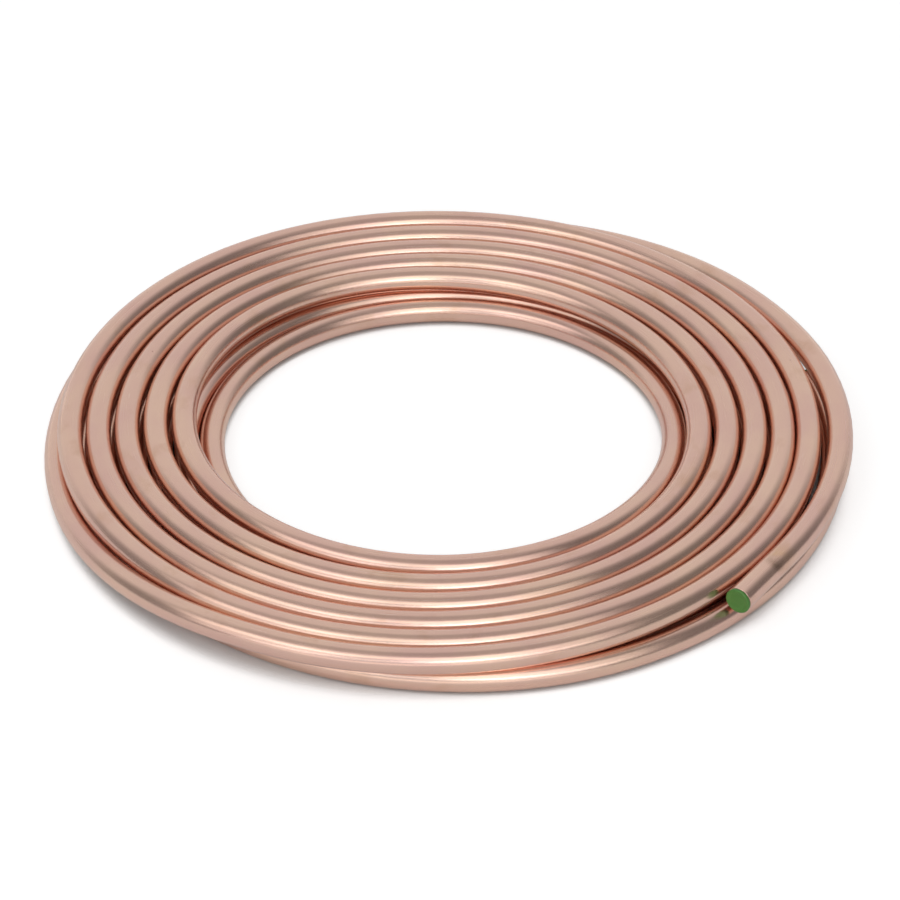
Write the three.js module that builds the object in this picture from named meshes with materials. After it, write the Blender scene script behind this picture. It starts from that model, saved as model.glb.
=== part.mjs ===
// A flat coil of soft copper tube: one tube wound in two layers, with a push-in plug in each end.
// Millimetres, +Z up. The coil lies on the floor at z = 0, round the Z axis.
//
// The tube is followed by its path angle, in degrees anticlockwise seen from above, from its
// free outer end. It runs on top, drops to the floor outside the lower layer, climbs back and
// winds inwards as the upper layer, then comes down inside and winds outwards as the lower one.
import * as THREE from "three";

// The tube and its spacing
const tubeDiameter = 15.875;
const tubeWall = 0.889;
const upperTurnGap = 1.75;
const lowerTurnGap = 0.4;
const layerGap = 0.4;

// The winding
const layerTurns = 6;
const firstTurnRadius = 147;
const crossover = { from: 186, to: 341 };
const upperDrift = 0.41;
const upperOval = 1.7;
const layerLean = 2;
const tuckedTurn = { at: 330, spread: 130 };

// The free outer end and the way it leaves and joins the layers
const freeEndAngle = -46.4;
const straightUntil = -35;
const swing = { by: 2.7, until: 16 };
const slideIn = { from: -18, to: 60 };
const dropToFloor = { from: 12, to: 114 };
const moveOut = { from: 192, to: 238 };
const climb = { from: 183, to: 246 };

// The inner end of the upper layer, measured back from where its last turn ends
const innerBlend = { from: -25, to: 39 };
const descent = { from: -77, to: 32 };
const hiddenEndPast = 15;

// The plugs
const plugFlange = 2;
const plugStem = 14;
const plugTaper = 0.6;
const plugClearance = 0.3;

// How finely the round shapes are drawn
const raysPerTurn = 28;
const tubeSides = 12;
const boreSides = 6;
const plugSides = 24;

const tubeRadius = tubeDiameter / 2;
const boreRadius = tubeRadius - tubeWall;
const upperPitch = tubeDiameter + upperTurnGap;
const lowerPitch = tubeDiameter + lowerTurnGap;
const lowerHeight = tubeRadius;
const upperHeight = lowerHeight + tubeDiameter + layerGap;
const insideAngle = 360 * layerTurns;
const endAngle = 2 * insideAngle + hiddenEndPast;

const copper = new THREE.MeshStandardMaterial({ color: 0xcda08a, roughness: 0.35, metalness: 1 });
const greenPlastic = new THREE.MeshStandardMaterial({ color: 0x4b7d37, roughness: 0.5, metalness: 0 });

function radians(degrees) {
  return THREE.MathUtils.degToRad(degrees);
}

// 0 before a range of angles, 1 after it, with an easy start and finish
function ease(angle, range) {
  return THREE.MathUtils.smoothstep(angle, range.from, range.to);
}

function shifted(range, angle) {
  return { from: range.from + angle, to: range.to + angle };
}

// Each turn lies round the axis and steps over by one place in the crossover.
// The drift is the share of that step which is spread over the whole turn.
function placesMoved(angle, drift) {
  const turns = (angle - 180) / 360;
  const whole = Math.floor(turns);
  const stepped = ease(angle - 360 * whole, crossover);
  return THREE.MathUtils.lerp(whole + stepped, turns, drift);
}

// The lower layer leans to one side of the axis and the upper layer to the other
function lowerRadius(angle, places) {
  const lean = layerLean * Math.cos(radians(angle));
  return firstTurnRadius + lowerPitch * places + lean;
}

// The first upper turn is tucked against the next one where the free end lies beside it
function tuck(angle) {
  const { at, spread } = tuckedTurn;
  const rising = ease(angle, { from: at - spread, to: at });
  const falling = ease(angle, { from: at, to: at + spread });
  return (upperTurnGap - layerGap) * (rising - falling);
}

function upperRadius(angle) {
  const placesLeft = placesMoved(insideAngle, upperDrift) - placesMoved(angle, upperDrift);
  const lean = layerLean * Math.cos(radians(angle));
  const oval = upperOval * Math.sin(radians(2 * angle));
  return firstTurnRadius + upperPitch * placesLeft - lean - oval - tuck(angle);
}

// The free end lies against the first upper turn. Its last stretch is straight.
function freeEndRadius(angle) {
  const beside = upperRadius(straightUntil + 360) + tubeDiameter + layerGap;
  if (angle < straightUntil) {
    return beside / Math.cos(radians(straightUntil - angle));
  }
  return beside + swing.by * ease(angle, { from: straightUntil, to: swing.until });
}

function radiusAt(angle) {
  const lerp = THREE.MathUtils.lerp;
  if (angle < moveOut.from) {
    return lerp(freeEndRadius(angle), lowerRadius(angle, layerTurns), ease(angle, slideIn));
  }
  if (angle < moveOut.to) {
    return lerp(lowerRadius(angle, layerTurns), upperRadius(angle), ease(angle, moveOut));
  }
  const places = placesMoved(angle - insideAngle, 0);
  const blend = ease(angle, shifted(innerBlend, insideAngle));
  return blend < 1
    ? lerp(upperRadius(angle), lowerRadius(angle, 0), blend)
    : lowerRadius(angle, places);
}

function heightAt(angle) {
  const dropped = ease(angle, dropToFloor);
  const climbed = ease(angle, climb);
  const descended = ease(angle, shifted(descent, insideAngle));
  const raised = 1 - dropped + climbed - descended;
  return THREE.MathUtils.lerp(lowerHeight, upperHeight, raised);
}

function pointAt(angle) {
  const radius = radiusAt(angle);
  const x = radius * Math.cos(radians(angle));
  const y = radius * Math.sin(radians(angle));
  return new THREE.Vector3(x, y, heightAt(angle));
}

function directionAt(angle) {
  const reach = 0.01;
  return pointAt(angle + reach).sub(pointAt(angle - reach)).normalize();
}

// The tube's centre line. Its stations lie on the same rays in every turn, so that the flats
// of neighbouring turns lie side by side and keep the gap between them.
class WoundPath extends THREE.Curve {
  constructor() {
    super();
    const step = 360 / raysPerTurn;
    const firstRay = Math.floor(freeEndAngle / step) + 1;
    const lastRay = Math.ceil(endAngle / step) - 1;
    this.angles = [freeEndAngle];
    for (let ray = firstRay; ray <= lastRay; ray += 1) {
      this.angles.push(ray * step);
    }
    this.angles.push(endAngle);
    this.stations = this.angles.length - 1;
  }

  angleAt(t) {
    const place = THREE.MathUtils.clamp(t, 0, 1) * this.stations;
    const before = Math.min(Math.floor(place + 1e-9), this.stations - 1);
    return THREE.MathUtils.lerp(this.angles[before], this.angles[before + 1], place - before);
  }

  getPoint(t, target = new THREE.Vector3()) {
    return target.copy(pointAt(this.angleAt(t)));
  }

  getUtoTmapping(u) {
    return u;
  }

  // Frames that stand upright: one axis level, towards the middle, and the other one up
  computeFrenetFrames(segments) {
    const up = new THREE.Vector3(0, 0, 1);
    const frames = { tangents: [], normals: [], binormals: [] };
    for (let i = 0; i <= segments; i += 1) {
      const tangent = directionAt(this.angleAt(i / segments));
      const normal = new THREE.Vector3().crossVectors(up, tangent).normalize();
      const binormal = new THREE.Vector3().crossVectors(tangent, normal);
      frames.tangents.push(tangent);
      frames.normals.push(normal);
      frames.binormals.push(binormal);
    }
    return frames;
  }
}

function polygon(radius, sides) {
  const corners = [];
  for (let i = 0; i < sides; i += 1) {
    const turn = (2 * Math.PI * i) / sides;
    corners.push(new THREE.Vector2(radius * Math.cos(turn), radius * Math.sin(turn)));
  }
  return corners;
}

function makeTube() {
  const section = new THREE.Shape(polygon(tubeRadius, tubeSides));
  section.holes.push(new THREE.Path(polygon(boreRadius, boreSides)));
  const path = new WoundPath();
  const geometry = new THREE.ExtrudeGeometry(section, { steps: path.stations, extrudePath: path });
  const tube = new THREE.Mesh(geometry, copper);
  tube.name = "copper_tube";
  return tube;
}

// A push-in plug: a round flange as wide as the tube and a stem that fits the bore,
// turned round its own Y axis with the flange's back face at the origin
function makePlug(name, angle, outwards) {
  const stemRadius = boreRadius * Math.cos(Math.PI / boreSides) - plugClearance;
  const profile = new THREE.Shape();
  profile.moveTo(0, -plugStem);
  profile.lineTo(stemRadius - plugTaper, -plugStem);
  profile.lineTo(stemRadius, -plugStem / 2);
  profile.lineTo(stemRadius, 0);
  profile.lineTo(tubeRadius, 0);
  profile.lineTo(tubeRadius, plugFlange - plugTaper);
  profile.lineTo(tubeRadius - plugTaper, plugFlange);
  profile.lineTo(0, plugFlange);
  const geometry = new THREE.LatheGeometry(profile.getPoints(1), plugSides);
  const plug = new THREE.Mesh(geometry, greenPlastic);
  const away = directionAt(angle).multiplyScalar(outwards);
  plug.name = name;
  plug.position.copy(pointAt(angle)).addScaledVector(away, plugClearance);
  plug.quaternion.setFromUnitVectors(new THREE.Vector3(0, 1, 0), away);
  return plug;
}

const coil = new THREE.Group();
coil.add(makeTube());
coil.add(makePlug("outer_end_plug", freeEndAngle, -1));
coil.add(makePlug("hidden_end_plug", endAngle, 1));

// The free end reaches out to one side, so the coil is moved to stand centred over the origin
const bounds = new THREE.Box3().setFromObject(coil, true);
const middle = bounds.getCenter(new THREE.Vector3());
coil.position.set(-middle.x, -middle.y, -bounds.min.z);

export default coil;
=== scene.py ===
import math
import bpy
import numpy as np
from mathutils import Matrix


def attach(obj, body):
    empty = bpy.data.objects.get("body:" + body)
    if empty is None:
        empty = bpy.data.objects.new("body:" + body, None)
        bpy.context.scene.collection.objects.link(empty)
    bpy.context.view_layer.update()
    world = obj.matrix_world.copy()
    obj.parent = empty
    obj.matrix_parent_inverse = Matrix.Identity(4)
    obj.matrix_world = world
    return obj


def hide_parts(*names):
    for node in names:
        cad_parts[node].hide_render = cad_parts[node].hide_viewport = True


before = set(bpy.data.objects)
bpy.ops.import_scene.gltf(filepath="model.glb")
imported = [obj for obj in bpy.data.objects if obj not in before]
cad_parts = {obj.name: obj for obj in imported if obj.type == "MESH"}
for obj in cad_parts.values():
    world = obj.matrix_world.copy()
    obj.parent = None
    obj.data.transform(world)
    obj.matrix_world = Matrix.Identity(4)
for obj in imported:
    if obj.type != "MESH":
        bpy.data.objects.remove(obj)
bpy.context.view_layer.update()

# A flat coil of soft copper tube, wound in two layers, with a push-in plug in each end.
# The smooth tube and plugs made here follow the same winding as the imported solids.
# Metres everywhere, apart from the dictionaries of sizes, which are in millimetres.
mm = 0.001


def linear(hexColour):  # sRGB hex value to the linear colour that a shader takes
    channels = np.array([int(hexColour[i:i + 2], 16) for i in (1, 3, 5)]) / 255
    low = channels / 12.92
    high = ((channels + 0.055) / 1.055) ** 2.4
    return (*np.where(channels <= 0.04045, low, high), 1.0)


# The winding: the path of the tube's centre line, followed by its angle in degrees anticlockwise
# from above. It starts at the free outer end and is given round the coil's own axis.

winding = {
    "tubeDiameter": 15.875,
    "tubeWall": 0.889,
    "upperTurnGap": 1.75,
    "lowerTurnGap": 0.4,
    "layerGap": 0.4,
    "layerTurns": 6,
    "firstTurnRadius": 147.0,
    "crossover": (186, 341),  # degrees of each turn in which the tube steps over by one place
    "upperDrift": 0.41,  # share of the upper layer's step that is spread over the whole turn
    "upperOval": 1.7,
    "layerLean": 2.0,  # the layers are shifted by this along x, one each way
    "tuckedAt": 330,  # where the first turn is tucked in, beside the free end
    "tuckedSpread": 130,
    "freeEndAngle": -46.4,
    "straightUntil": -35,
    "swingBy": 2.7,
    "swingUntil": 16,
    "slideIn": (-18, 60),
    "dropToFloor": (12, 114),
    "moveOut": (192, 238),
    "climb": (183, 246),
    "innerBlend": (-25, 39),  # degrees from the end of the upper layer, as the descent is
    "descent": (-77, 32),
    "hiddenEndPast": 15,
    "raysPerTurn": 28,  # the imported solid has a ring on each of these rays
}
upperPitch = winding["tubeDiameter"] + winding["upperTurnGap"]
lowerPitch = winding["tubeDiameter"] + winding["lowerTurnGap"]
lowerHeight = winding["tubeDiameter"] / 2
upperHeight = lowerHeight + winding["tubeDiameter"] + winding["layerGap"]
startAngle = winding["freeEndAngle"]
insideAngle = 360 * winding["layerTurns"]
endAngle = 2 * insideAngle + winding["hiddenEndPast"]


def ease(angle, span, offset=0):  # 3t^2 - 2t^3, 0 before the span and 1 after it
    t = np.clip((angle - offset - span[0]) / (span[1] - span[0]), 0, 1)
    return t * t * (3 - 2 * t)


def mix(a, b, share):  # straight-line blend of two arrays
    return a + (b - a) * share


def hump(angle, at, spread):  # eased up to 1 at its middle and down again
    return ease(angle, (at - spread, at)) - ease(angle, (at, at + spread))


def cosine(angle):  # of an angle in degrees
    return np.cos(np.radians(angle))


def placesMoved(angle, drift):  # whole turns, plus an eased step in each crossover
    turns = (angle - 180) / 360
    whole = np.floor(turns)
    return mix(whole + ease(angle - 360 * whole, winding["crossover"]), turns, drift)


def lowerRadius(angle, places):  # first radius, a pitch for each place, and a lean as a cosine
    lean = winding["layerLean"] * cosine(angle)
    return winding["firstTurnRadius"] + lowerPitch * places + lean


def upperRadius(angle):  # a pitch for each place left, less the lean, a slight oval and the tuck
    drift = winding["upperDrift"]
    placesLeft = placesMoved(insideAngle, drift) - placesMoved(angle, drift)
    lean = winding["layerLean"] * cosine(angle)
    oval = winding["upperOval"] * cosine(2 * angle - 90)
    tucked = hump(angle, winding["tuckedAt"], winding["tuckedSpread"])
    tuck = (winding["upperTurnGap"] - winding["layerGap"]) * tucked
    return winding["firstTurnRadius"] + upperPitch * placesLeft - lean - oval - tuck


def freeEndRadius(angle):  # beside the first turn, straight at its end, then swung out a little
    start = winding["straightUntil"]
    beside = upperRadius(start + 360.0) + winding["tubeDiameter"] + winding["layerGap"]
    straight = beside / cosine(np.maximum(start - angle, 0))
    return straight + winding["swingBy"] * ease(angle, (start, winding["swingUntil"]))


# The coil was wound by hand, so its turns lie a little off their even places: the upper layer has
# slid sideways and its inner turns are oval, each turn has a flatter place at the back, the tube
# bulges in a few places, and its ends spring in or out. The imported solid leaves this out.
handLaid = {
    "slideBy": (-1.5, 1.5, 0.8),  # at the outside, the middle and the inside of the upper layer
    "slideTowards": (266, 300),  # at its outside and inside
    "ovalBy": (0.6, -0.7, 2.7),
    "ovalTowards": 129,
    "lowerSlideBy": 1.3,
    "lowerSlideTowards": 83,
    "flatBy": 1.8,
    "flatAt": 92,
    "flatSharpness": 8,  # a power of the cosine: the higher, the shorter the flat place
    "bulges": [  # how far outwards, the path angle, and how far it reaches to each side
        (0.9, 243, 38),  # where the tube climbs
        (2.2, insideAngle, 45),  # where it comes down inside
        (1.2, 382, 34),  # the first turn, beside the free end
        (-0.9, 29, 18),  # the free end, as it starts to drop
        (1.3, endAngle, 45),  # the hidden end
    ],
    "freeEndIn": 0.9,
    "freeEndInUntil": (-65, -18),
    "hiddenEndOut": 1.5,
    "hiddenEndOutFrom": (-112, -80),  # degrees from the hidden end
}


def betweenThree(values, share):  # the parabola through three values at 0, 1/2 and 1
    first, middle, last = values
    edges = first * (1 - share) * (1 - 2 * share) + last * share * (2 * share - 1)
    return edges + 4 * middle * share * (1 - share)


def layOffset(angle):
    # slide cos(a - towards) + oval cos 2(a - towards), whose sizes change inwards, blended into the
    # lower layer's own slide, less a power of a cosine at the flat place, with the bulges and ends
    share = np.clip(angle / insideAngle, 0, 1)
    slide = betweenThree(handLaid["slideBy"], share)
    oval = betweenThree(handLaid["ovalBy"], share)
    upper = slide * cosine(angle - mix(*handLaid["slideTowards"], share))
    upper = upper + oval * cosine(2 * (angle - handLaid["ovalTowards"]))
    lower = handLaid["lowerSlideBy"] * cosine(angle - handLaid["lowerSlideTowards"])
    facing = np.maximum(cosine(angle - handLaid["flatAt"]), 0)
    flat = handLaid["flatBy"] * facing ** handLaid["flatSharpness"]
    bulge = sum(outwards * hump(angle, at, spread) for outwards, at, spread in handLaid["bulges"])
    sprung = handLaid["hiddenEndOut"] * ease(angle, handLaid["hiddenEndOutFrom"], endAngle)
    bent = handLaid["freeEndIn"] * (1 - ease(angle, handLaid["freeEndInUntil"]))
    layers = mix(upper, lower, ease(angle, winding["descent"], insideAngle))
    return layers - flat + bulge + sprung - bent


def pathRadius(angle):  # the free end, the first turn's way up, the upper layer, the lower layer
    outside = lowerRadius(angle, winding["layerTurns"])
    free = mix(freeEndRadius(angle), outside, ease(angle, winding["slideIn"]))
    rising = mix(outside, upperRadius(angle), ease(angle, winding["moveOut"]))
    inwards = ease(angle, winding["innerBlend"], insideAngle)
    upper = mix(upperRadius(angle), lowerRadius(angle, 0), inwards)
    lower = lowerRadius(angle, placesMoved(angle - insideAngle, 0))
    wound = np.where(inwards < 1, upper, lower)
    return np.where(angle < winding["moveOut"][0], free,
                    np.where(angle < winding["moveOut"][1], rising, wound))


def pathPoint(angle):  # radius and angle as x and y, and a height that eases between the layers
    dropped = ease(angle, winding["dropToFloor"])
    climbed = ease(angle, winding["climb"])
    descended = ease(angle, winding["descent"], insideAngle)
    height = mix(lowerHeight, upperHeight, 1 - dropped + climbed - descended)
    radius, turn = pathRadius(angle) + layOffset(angle), np.radians(angle)
    return np.stack([radius * np.cos(turn), radius * np.sin(turn), height], -1)


def pathFrame(angle):  # centre, direction, level axis towards the middle, and the axis above it
    angle = np.atleast_1d(np.asarray(angle, float))
    reach = 0.01  # degrees
    centre = pathPoint(angle)
    along = pathPoint(angle + reach) - pathPoint(angle - reach)
    along /= np.linalg.norm(along, axis=1, keepdims=True)
    level = np.cross([0, 0, 1], along)
    level /= np.linalg.norm(level, axis=1, keepdims=True)
    return centre, along, level, np.cross(along, level)


def boxCentre():  # half way between the furthest places of the even winding, over its rays
    ray = 360 / winding["raysPerTurn"]
    angles = np.arange(math.floor(startAngle / ray) + 1, math.ceil(endAngle / ray)) * ray
    radii, turns = pathRadius(angles), np.radians(angles)
    places = np.stack([radii * np.cos(turns), radii * np.sin(turns), 0 * radii], -1)
    return (places.min(0) + places.max(0)) / 2


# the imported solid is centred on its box, so the path is moved from its own axis to match it
offset = boxCentre()
print("winding: box centre at", offset.round(3), "mm from the axis")


def gridFaces(rows, columns, closed):  # four corners between each ring and the next, all the way round
    here = np.arange(rows if closed else rows - 1)[:, None]
    above = (here + 1) % rows
    column = np.arange(columns)[None]
    beside = (column + 1) % columns
    corners = (here * columns + column, here * columns + beside,
               above * columns + beside, above * columns + column)
    return np.stack(corners, -1).reshape(-1, 4)


def addPiece(name, points, faces, sharpAngle, material, node):
    # a smooth mesh with its sharp edges marked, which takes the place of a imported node
    mesh = bpy.data.meshes.new(name)
    mesh.from_pydata((points * mm).tolist(), [], faces)
    mesh.polygons.foreach_set("use_smooth", np.ones(len(faces), bool))
    mesh.set_sharp_from_angle(angle=math.radians(sharpAngle))
    mesh.materials.append(material)
    mesh.update()
    piece = bpy.data.objects.new(name, mesh)
    bpy.context.scene.collection.objects.link(piece)
    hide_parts(node)
    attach(piece, "root")
    print(name + ":", len(faces), "faces")
    return piece


def addNode(tree, kind, links, **settings):
    # one node with its settings; each link is a value, or the output of another node
    node = tree.nodes.new(kind)
    for key, value in settings.items():
        setattr(node, key, value)
    for key, value in links.items():
        if isinstance(value, bpy.types.NodeSocket):
            tree.links.new(value, node.inputs[key])
        else:
            node.inputs[key].default_value = value
    return node


def newTree(name):
    material = bpy.data.materials.new(name)
    material.use_nodes = True
    material.node_tree.nodes.clear()
    return material, material.node_tree


copperFinish = {
    "clean": "#F0CBB6",
    "handled": "#E9C0B2",
    "stain": "#DDB49A",
    "nick": "#7A4C38",
    "rubbed": "#F6DCCB",
    "roughness": (0.225, 0.285),  # in and between the drawing lines
    "lineWidth": 1.1,  # the drawing lines are finer, and are drawn coarse enough to show
    "lineLength": 90.0,
    "lineBump": 0.055,
    "lineRange": (0.25, 0.75),  # of the pattern's height, from none to all, as in the next two
    "patchSize": 30.0,
    "patchRange": (0.35, 0.65),
    "stainSize": 22.0,
    "stainRange": (0.58, 0.75),
    "stainStrength": 0.7,
    "nickSpacing": 12.0,
    "nickSize": 0.55,
    "nickShare": 0.2,  # share of the places that have a nick
    "nickStrength": 0.8,
    "nickBump": 0.4,
    "rubSpacing": 9.0,
    "rubSize": 0.45,
    "rubShare": 0.35,
    "rubStrength": 0.5,
    "rubStretch": 9.0,  # rubs are this many times longer than they are wide
    "markCore": 0.4,  # share of a nick's or rub's size that is at full strength
    "bumpDepth": 0.1,
    "freeEndSpots": [  # two darker spots on top of the tube near its free end: place on the straight tube, size, colour and strength
        ((40.0, -3.5, 7.1), 8.0, "#8F715C", 0.65),
        ((48.0, 1.1, 7.9), 8.0, "#DDB48A", 0.6),
    ],
    "freeEndSpotCore": 0.2,
    "freeEndSpotRange": (0.25, 0.6),
}


def annealedCopper():
    # Drawn copper tube, bright annealed until it is soft. It keeps a satin skin with faint lines
    # along it. Its tone goes between pink and tan where it was handled, with a few weak stains,
    # and it has small dark nicks and pale rubs along its length, and two darker spots on its top near
    # its free end.
    look = copperFinish
    material, tree = newTree("annealedCopper")
    straight = addNode(tree, "ShaderNodeAttribute", {}, attribute_name="straightTube")

    def unrolled(along, across):  # the place on the straight tube, in pattern lengths and widths
        scale = (1 / (along * mm), 1 / (across * mm), 1 / (across * mm))
        mapping = {"Vector": straight.outputs["Vector"], "Scale": scale}
        return addNode(tree, "ShaderNodeMapping", mapping).outputs["Vector"]

    def clouds(along, across, limits, detail):  # soft patches: 0 below the limits, 1 above them
        noise = addNode(tree, "ShaderNodeTexNoise", {
            "Vector": unrolled(along, across), "Scale": 1.0, "Detail": detail, "Roughness": 0.55})
        return addNode(tree, "ShaderNodeMapRange", {
            "Value": noise.outputs["Fac"], "From Min": limits[0],
            "From Max": limits[1]}).outputs["Result"]

    def marks(spacing, stretch, size, share):  # small spots in a share of the cells of a pattern
        cell = addNode(tree, "ShaderNodeTexVoronoi", {
            "Vector": unrolled(spacing * stretch, spacing), "Scale": 1.0})
        chance = addNode(tree, "ShaderNodeSeparateColor", {"Color": cell.outputs["Color"]})
        chosen = addNode(tree, "ShaderNodeMapRange", {
            "Value": chance.outputs["Red"], "From Min": 1.0 - share, "From Max": 1.02 - share})
        close = addNode(tree, "ShaderNodeMapRange", {
            "Value": cell.outputs["Distance"], "From Min": size / spacing,
            "From Max": look["markCore"] * size / spacing})
        return addNode(tree, "ShaderNodeMath", {
            0: chosen.outputs["Result"], 1: close.outputs["Result"]},
            operation="MULTIPLY").outputs["Value"]

    def spot(place, size):  # one soft patch round a place on the straight tube
        away = addNode(tree, "ShaderNodeVectorMath", {
            0: straight.outputs["Vector"], 1: [value * mm for value in place]},
            operation="DISTANCE")
        near = addNode(tree, "ShaderNodeMapRange", {
            "Value": away.outputs["Value"], "From Min": size * mm,
            "From Max": look["freeEndSpotCore"] * size * mm}, interpolation_type="SMOOTHSTEP")
        return addNode(tree, "ShaderNodeMath", {
            0: near.outputs["Result"], 1: clouds(size, size / 2, look["freeEndSpotRange"], 4.0)},
            operation="MULTIPLY").outputs["Value"]

    def tinted(below, amount, strength, hexColour):  # one colour laid over what is below it
        share = addNode(tree, "ShaderNodeMath", {0: amount, 1: strength}, operation="MULTIPLY")
        over = addNode(tree, "ShaderNodeMix", {
            "Factor": share.outputs["Value"], 6: below, 7: linear(hexColour)}, data_type="RGBA")
        return over.outputs[2]

    lines = addNode(tree, "ShaderNodeTexNoise", {
        "Vector": unrolled(look["lineLength"], look["lineWidth"]),
        "Scale": 1.0, "Detail": 3.0, "Roughness": 0.6})
    patches = clouds(look["patchSize"] * 2, look["patchSize"], look["patchRange"], 5.0)
    stains = clouds(look["stainSize"] * 1.5, look["stainSize"], look["stainRange"], 4.0)
    nicks = marks(look["nickSpacing"], 1.0, look["nickSize"], look["nickShare"])
    rubs = marks(look["rubSpacing"], look["rubStretch"], look["rubSize"], look["rubShare"])
    skin = tinted(linear(look["clean"]), patches, 1.0, look["handled"])
    skin = tinted(skin, stains, look["stainStrength"], look["stain"])
    # two darker spots on top of the tube near its free end
    for place, size, colour, strength in look["freeEndSpots"]:
        skin = tinted(skin, spot(place, size), strength, colour)
    skin = tinted(skin, rubs, look["rubStrength"], look["rubbed"])
    skin = tinted(skin, nicks, look["nickStrength"], look["nick"])
    gloss = addNode(tree, "ShaderNodeMapRange", {
        "Value": lines.outputs["Fac"],
        "From Min": look["lineRange"][0], "From Max": look["lineRange"][1],
        "To Min": look["roughness"][0], "To Max": look["roughness"][1]})
    deep = look["bumpDepth"] * mm
    bump = addNode(tree, "ShaderNodeBump", {
        "Strength": look["lineBump"], "Distance": deep, "Height": lines.outputs["Fac"]})
    dents = addNode(tree, "ShaderNodeBump", {
        "Strength": look["nickBump"], "Distance": deep, "Height": nicks,
        "Normal": bump.outputs["Normal"]}, invert=True)
    shader = addNode(tree, "ShaderNodeBsdfPrincipled", {
        "Base Color": skin, "Metallic": 1.0,
        "Roughness": gloss.outputs["Result"], "Normal": dents.outputs["Normal"]})
    addNode(tree, "ShaderNodeOutputMaterial", {"Surface": shader.outputs["BSDF"]})
    return material


tube = {
    "sides": 36,
    "ringEvery": 3.0,  # degrees of path angle, along the outside
    "boreRingEvery": 6.0,
    "endRounding": 0.12,
    "measureEvery": 0.25,  # degrees, for the length along the tube
    "sharpAngle": 35,
}


def makeTube():
    # Rings at centre + r (level cos t + above sin t). They go along the outside and come back
    # through the bore, so the skin closes on itself round both ends. Before it was wound, the same
    # point was at (length, r cos t, r sin t), which is kept for the patterns to follow the tube.
    first, last, lip = startAngle, endAngle, tube["endRounding"]
    outer = winding["tubeDiameter"] / 2
    bore = outer - winding["tubeWall"]
    outside = np.linspace(first, last, round((last - first) / tube["ringEvery"]))
    inside = np.linspace(last, first, round((last - first) / tube["boreRingEvery"]))
    setBack = np.zeros(len(outside))
    setBack[[0, -1]] = lip, -lip
    angles = np.concatenate([[first], outside, [last], inside])
    along = np.concatenate([[0], setBack, [0], 0 * inside])
    radii = np.concatenate([[outer - lip], outer + 0 * outside, [outer - lip], bore + 0 * inside])
    centre, forward, level, above = pathFrame(angles)
    centre = centre + forward * along[:, None]
    t = np.linspace(0, 2 * np.pi, tube["sides"], endpoint=False)
    across, up = np.outer(radii, np.cos(t)), np.outer(radii, np.sin(t))
    points = centre[:, None] + across[..., None] * level[:, None] + up[..., None] * above[:, None]
    fine = np.arange(first - 1, last + 1, tube["measureEvery"])
    travelled = np.cumsum(np.linalg.norm(np.diff(pathPoint(fine), axis=0), axis=1))
    length = np.interp(angles, fine[1:], travelled) + along
    straight = np.stack([np.repeat(length[:, None], len(t), 1), across, up], -1)
    faces = gridFaces(len(angles), len(t), True)
    piece = addPiece("copperTube", points.reshape(-1, 3) - offset, faces.tolist(),
                     tube["sharpAngle"], annealedCopper(), "copper_tube")
    kept = piece.data.attributes.new("straightTube", "FLOAT_VECTOR", "POINT")
    kept.data.foreach_set("vector", (straight * mm).astype(np.float32).ravel())
    print("tube: %.2f m of it" % (length.max() * mm))


plasticFinish = {
    "green": "#417B30",
    "pale": "#5B863C",
    "cloudSize": 6.0,
    "roughness": (0.45, 0.56),  # across the mould texture
    "ior": 1.51,
    "grainSize": 0.5,
    "grainRange": (0.3, 0.7),
    "grainBump": 0.25,
    "bumpDepth": 0.05,
}


def mouldedPolyethylene():
    # Green polyethylene, injection moulded: a waxy half gloss with a fine, faint mould texture
    look = plasticFinish
    material, tree = newTree("mouldedGreenPolyethylene")
    place = addNode(tree, "ShaderNodeTexCoord", {})
    cloud = addNode(tree, "ShaderNodeTexNoise", {
        "Vector": place.outputs["Object"], "Scale": 1 / (look["cloudSize"] * mm),
        "Detail": 3.0})
    grain = addNode(tree, "ShaderNodeTexNoise", {
        "Vector": place.outputs["Object"], "Scale": 1 / (look["grainSize"] * mm),
        "Detail": 2.0})
    colour = addNode(tree, "ShaderNodeMix", {"Factor": cloud.outputs["Fac"]}, data_type="RGBA")
    colour.inputs[6].default_value = linear(look["green"])
    colour.inputs[7].default_value = linear(look["pale"])
    gloss = addNode(tree, "ShaderNodeMapRange", {
        "Value": grain.outputs["Fac"],
        "From Min": look["grainRange"][0], "From Max": look["grainRange"][1],
        "To Min": look["roughness"][0], "To Max": look["roughness"][1]})
    bump = addNode(tree, "ShaderNodeBump", {
        "Strength": look["grainBump"], "Distance": look["bumpDepth"] * mm,
        "Height": grain.outputs["Fac"]})
    shader = addNode(tree, "ShaderNodeBsdfPrincipled", {
        "Base Color": colour.outputs[2], "Roughness": gloss.outputs["Result"],
        "IOR": look["ior"], "Normal": bump.outputs["Normal"]})
    addNode(tree, "ShaderNodeOutputMaterial", {"Surface": shader.outputs["BSDF"]})
    return material


plug = {
    "sides": 72,
    "standOff": 0.05,  # how far the flange stays clear of the tube's end
    "flangeRadius": 7.9375,
    "flangeThickness": 2.25,
    "edgeRounding": 0.7,
    "backRounding": 0.75,
    "dishStart": 1.6,  # in from the flange's rim
    "dishWidth": 1.4,
    "dishDepth": 0.25,
    "stemRadius": 6.8,
    "stemLength": 14.0,
    "stemTaper": 0.5,
    "stemTop": 0.02,  # share of the stem's length that is bare under the flange
    "ribs": 4,
    "ribHeight": 0.18,
    "stemRings": 49,
    "roundingRings": 8,
    "faceRings": 12,
    "sharpAngle": 40,
}


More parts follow.
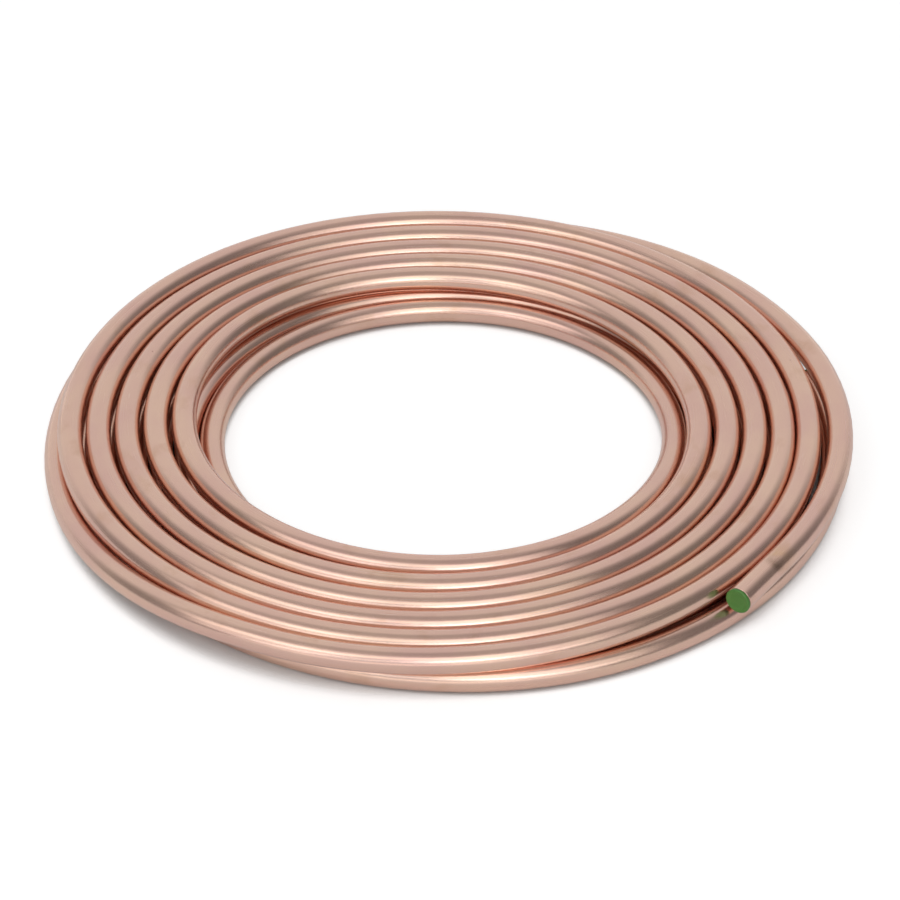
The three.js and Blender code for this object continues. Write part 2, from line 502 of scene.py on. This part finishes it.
def plugProfile():
    # radius and height over the tube's end: up the stem, which tapers as a square and has ribs as
    # |cos|, under the flange, round two quarter circles, and over its face, which sinks as 3t^2 - 2t^3
    rim, top, edge = plug["flangeRadius"], plug["flangeThickness"], plug["edgeRounding"]
    share = np.linspace(0, 1, plug["stemRings"])
    rib = plug["ribHeight"] * np.abs(np.cos(np.pi * plug["ribs"] * share))
    stem = plug["stemRadius"] - plug["stemTaper"] * (1 - share) ** 2 - plug["ribHeight"] + rib
    height = plug["stemLength"] * (share * (1 - plug["stemTop"]) - 1)
    turn = np.linspace(0, np.pi / 2, plug["roundingRings"])
    back = plug["backRounding"]
    inwards = np.linspace(0, 1, plug["faceRings"] + 2)[1:-1]
    faceRadius = (rim - edge) * (1 - inwards)
    start = plug["dishStart"]
    sunk = plug["dishDepth"] * ease(rim - faceRadius, (start, start + plug["dishWidth"]))
    radii = [stem, [plug["stemRadius"]], rim - back + back * np.sin(turn),
             rim - edge + edge * np.cos(turn), faceRadius]
    heights = [height, [0], back - back * np.cos(turn),
               top - edge + edge * np.sin(turn), top - sunk]
    return np.concatenate(radii), np.concatenate(heights), top - plug["dishDepth"]


def makePlug(name, node, angle, outwards, material):
    # seat + r (cos t side + sin t above) + h away, with the profile's r and h and the directions at
    # the tube's end, and with one point at each pole
    centre, forward, _, above = (part[0] for part in pathFrame(angle))
    away = forward * outwards
    seat = centre + away * plug["standOff"] - offset
    radii, heights, middle = plugProfile()
    t = np.linspace(0, 2 * np.pi, plug["sides"], endpoint=False)
    ring = np.outer(np.cos(t), np.cross(above, away)) + np.outer(np.sin(t), above)
    points = seat + radii[:, None, None] * ring + heights[:, None, None] * away
    poles = seat + away * np.array([[-plug["stemLength"]], [middle]])
    rows, sides = len(radii), plug["sides"]
    foot, face = rows * sides, rows * sides + 1
    here = np.arange(sides)
    beside = (here + 1) % sides
    last = (rows - 1) * sides
    footFan = np.stack([0 * here + foot, beside, here], -1)
    faceFan = np.stack([0 * here + face, here + last, beside + last], -1)
    faces = gridFaces(rows, sides, False).tolist() + footFan.tolist() + faceFan.tolist()
    addPiece(name, np.concatenate([points.reshape(-1, 3), poles]), faces, plug["sharpAngle"],
             material, node)


makeTube()
greenPolyethylene = mouldedPolyethylene()
makePlug("outerEndPlug", "outer_end_plug", startAngle, -1, greenPolyethylene)
makePlug("hiddenEndPlug", "hidden_end_plug", endAngle, 1, greenPolyethylene)


studio = {
    "floorColour": "#D0D0D0",
    "floorGlow": 0.62,  # white, with the light that falls on the floor
    "floorReflected": 0.35,  # share of that glow which the shiny copper mirrors
    "floorSize": 30.0,  # metres, as the other two lengths here are
    "hollowSize": 0.04,  # how far round a place on the floor the coil shades it
    "hollowRange": (0.35, 0.45),  # shares of open sky: no glow at the first, all of it at the second
    "grey": 0.707,
    "softBoxes": [  # azimuth, lowest and highest elevation, width in degrees, and brightness
        (223, 9.5, 56, 41, 0.7),
        (296.5, 14.5, 61, 48, 0.68),
        (241.5, 42, 68, 83, 0.53),
        (261, 0.5, 10, 86, 0.62),
        (96, 0.5, 4.5, 75, 0.47),
    ],
    "brightStrips": [  # the same five numbers for the tubes in front of the boxes
        (268, 23.5, 33, 79, 0.92),
        (280, 24.5, 31, 18, 2.1),
        (234, 45, 53, 15, 0.8),
    ],
    "boxColour": (1.0, 0.99, 0.97),
    "stripColour": (0.96, 1.07, 1.17),
    "lampDistance": 4.0,
    "shades": [  # azimuth, elevation, core and edge of the shade in degrees, and its depth
        (347, 16, 22, 64.5, 0.73),
        (200.5, 17.5, 21, 55, 0.65),
        (266.5, 63, 42, 52, 0.36),
    ],
}


def direction(azimuth, elevation):  # azimuth anticlockwise from +X, seen from above
    a, e = np.radians(azimuth), np.radians(elevation)
    return np.array([np.cos(a) * np.cos(e), np.sin(a) * np.cos(e), np.sin(e)])


def makeFloor():
    half = studio["floorSize"] / 2
    mesh = bpy.data.meshes.new("floor")
    mesh.from_pydata([(-half, -half, 0), (half, -half, 0), (half, half, 0), (-half, half, 0)], [],
                     [(0, 1, 2, 3)])
    material, tree = newTree("paleFloor")
    # the floor glows a little for the camera and for reflections, so that it reads as white, but
    # not in the narrow spaces under the coil, where a floor is dark
    ray = addNode(tree, "ShaderNodeLightPath", {})
    mirrored = addNode(tree, "ShaderNodeMath", {
        0: ray.outputs["Is Glossy Ray"], 1: studio["floorReflected"]}, operation="MULTIPLY")
    straight = addNode(tree, "ShaderNodeMath", {
        0: ray.outputs["Is Camera Ray"], 1: ray.outputs["Is Transmission Ray"]},
        operation="MAXIMUM")
    seen = addNode(tree, "ShaderNodeMath", {
        0: straight.outputs["Value"], 1: mirrored.outputs["Value"]}, operation="MAXIMUM")
    openness = addNode(tree, "ShaderNodeAmbientOcclusion", {
        "Distance": studio["hollowSize"]}, samples=8)
    closed, wideOpen = studio["hollowRange"]
    openFloor = addNode(tree, "ShaderNodeMapRange", {
        "Value": openness.outputs["AO"], "From Min": closed, "From Max": wideOpen,
        "To Max": studio["floorGlow"]})
    strength = addNode(tree, "ShaderNodeMath", {
        0: seen.outputs["Value"], 1: openFloor.outputs["Result"]}, operation="MULTIPLY")
    matt = addNode(tree, "ShaderNodeBsdfDiffuse", {"Color": linear(studio["floorColour"])})
    glow = addNode(tree, "ShaderNodeEmission", {"Strength": strength.outputs["Value"]})
    both = addNode(tree, "ShaderNodeAddShader", {
        0: matt.outputs["BSDF"], 1: glow.outputs["Emission"]})
    addNode(tree, "ShaderNodeOutputMaterial", {"Surface": both.outputs["Shader"]})
    mesh.materials.append(material)
    floor = bpy.data.objects.new("floor", mesh)
    bpy.context.scene.collection.objects.link(floor)


def makeWorld():
    # a grey room, with darker openings to the left and right and overhead in front
    world = bpy.data.worlds.new("studio")
    bpy.context.scene.world = world
    world.use_nodes = True
    tree = world.node_tree
    tree.nodes.clear()
    look = addNode(tree, "ShaderNodeTexCoord", {}).outputs["Generated"]
    level = studio["grey"]
    for azimuth, elevation, core, edge, depth in studio["shades"]:
        towards = addNode(tree, "ShaderNodeVectorMath", {
            0: look, 1: direction(azimuth, elevation)}, operation="DOT_PRODUCT")
        shade = addNode(tree, "ShaderNodeMapRange", {
            "Value": towards.outputs["Value"], "From Min": math.cos(math.radians(edge)),
            "From Max": math.cos(math.radians(core)), "To Min": 1.0, "To Max": 1 - depth},
            interpolation_type="SMOOTHSTEP")
        level = addNode(tree, "ShaderNodeMath", {
            0: level, 1: shade.outputs["Result"]}, operation="MULTIPLY").outputs["Value"]
    background = addNode(tree, "ShaderNodeBackground", {"Color": (1, 1, 1, 1), "Strength": level})
    addNode(tree, "ShaderNodeOutputWorld", {"Surface": background.outputs["Background"]})


def makeLamp(name, place, colour):  # a level oblong that faces the coil, as bright as given
    azimuth, low, high, wide, brightness = place
    away, elevation = studio["lampDistance"], (low + high) / 2
    lamp = bpy.data.lights.new(name, "AREA")
    lamp.shape = "RECTANGLE"
    lamp.size = 2 * away * math.tan(math.radians(wide / 2))
    lamp.size_y = 2 * away * math.tan(math.radians((high - low) / 2))
    lamp.energy = brightness * math.pi * lamp.size * lamp.size_y
    lamp.color = colour
    box = bpy.data.objects.new(name, lamp)
    box.location = direction(azimuth, elevation) * away
    box.rotation_euler = (math.radians(90 - elevation), 0, math.radians(azimuth + 90))
    box.visible_camera = False
    bpy.context.scene.collection.objects.link(box)


makeFloor()
makeWorld()
for number, place in enumerate(studio["softBoxes"]):
    makeLamp("softBox%d" % (number + 1), place, studio["boxColour"])
for number, place in enumerate(studio["brightStrips"]):
    makeLamp("brightStrip%d" % (number + 1), place, studio["stripColour"])
print("studio: floor, world and lamps")

view = {
    "place": (1.461, -1660.27, 1208.53),
    "tilt": 53.876,
    "lens": 128.764,
    "sensor": 36.0,
    "clip": (0.05, 60),  # metres
}
lens = bpy.data.cameras.new("camera")
lens.lens = view["lens"]
lens.sensor_width = view["sensor"]
lens.clip_start, lens.clip_end = view["clip"]
camera = bpy.data.objects.new("camera", lens)
camera.location = [value * mm for value in view["place"]]
camera.rotation_euler = (math.radians(view["tilt"]), 0, 0)
bpy.context.scene.collection.objects.link(camera)
bpy.context.scene.camera = camera
bpy.context.scene.view_settings.view_transform = "Standard"
bpy.context.scene.cycles.glossy_bounces = 10  # light goes back and forth between the turns
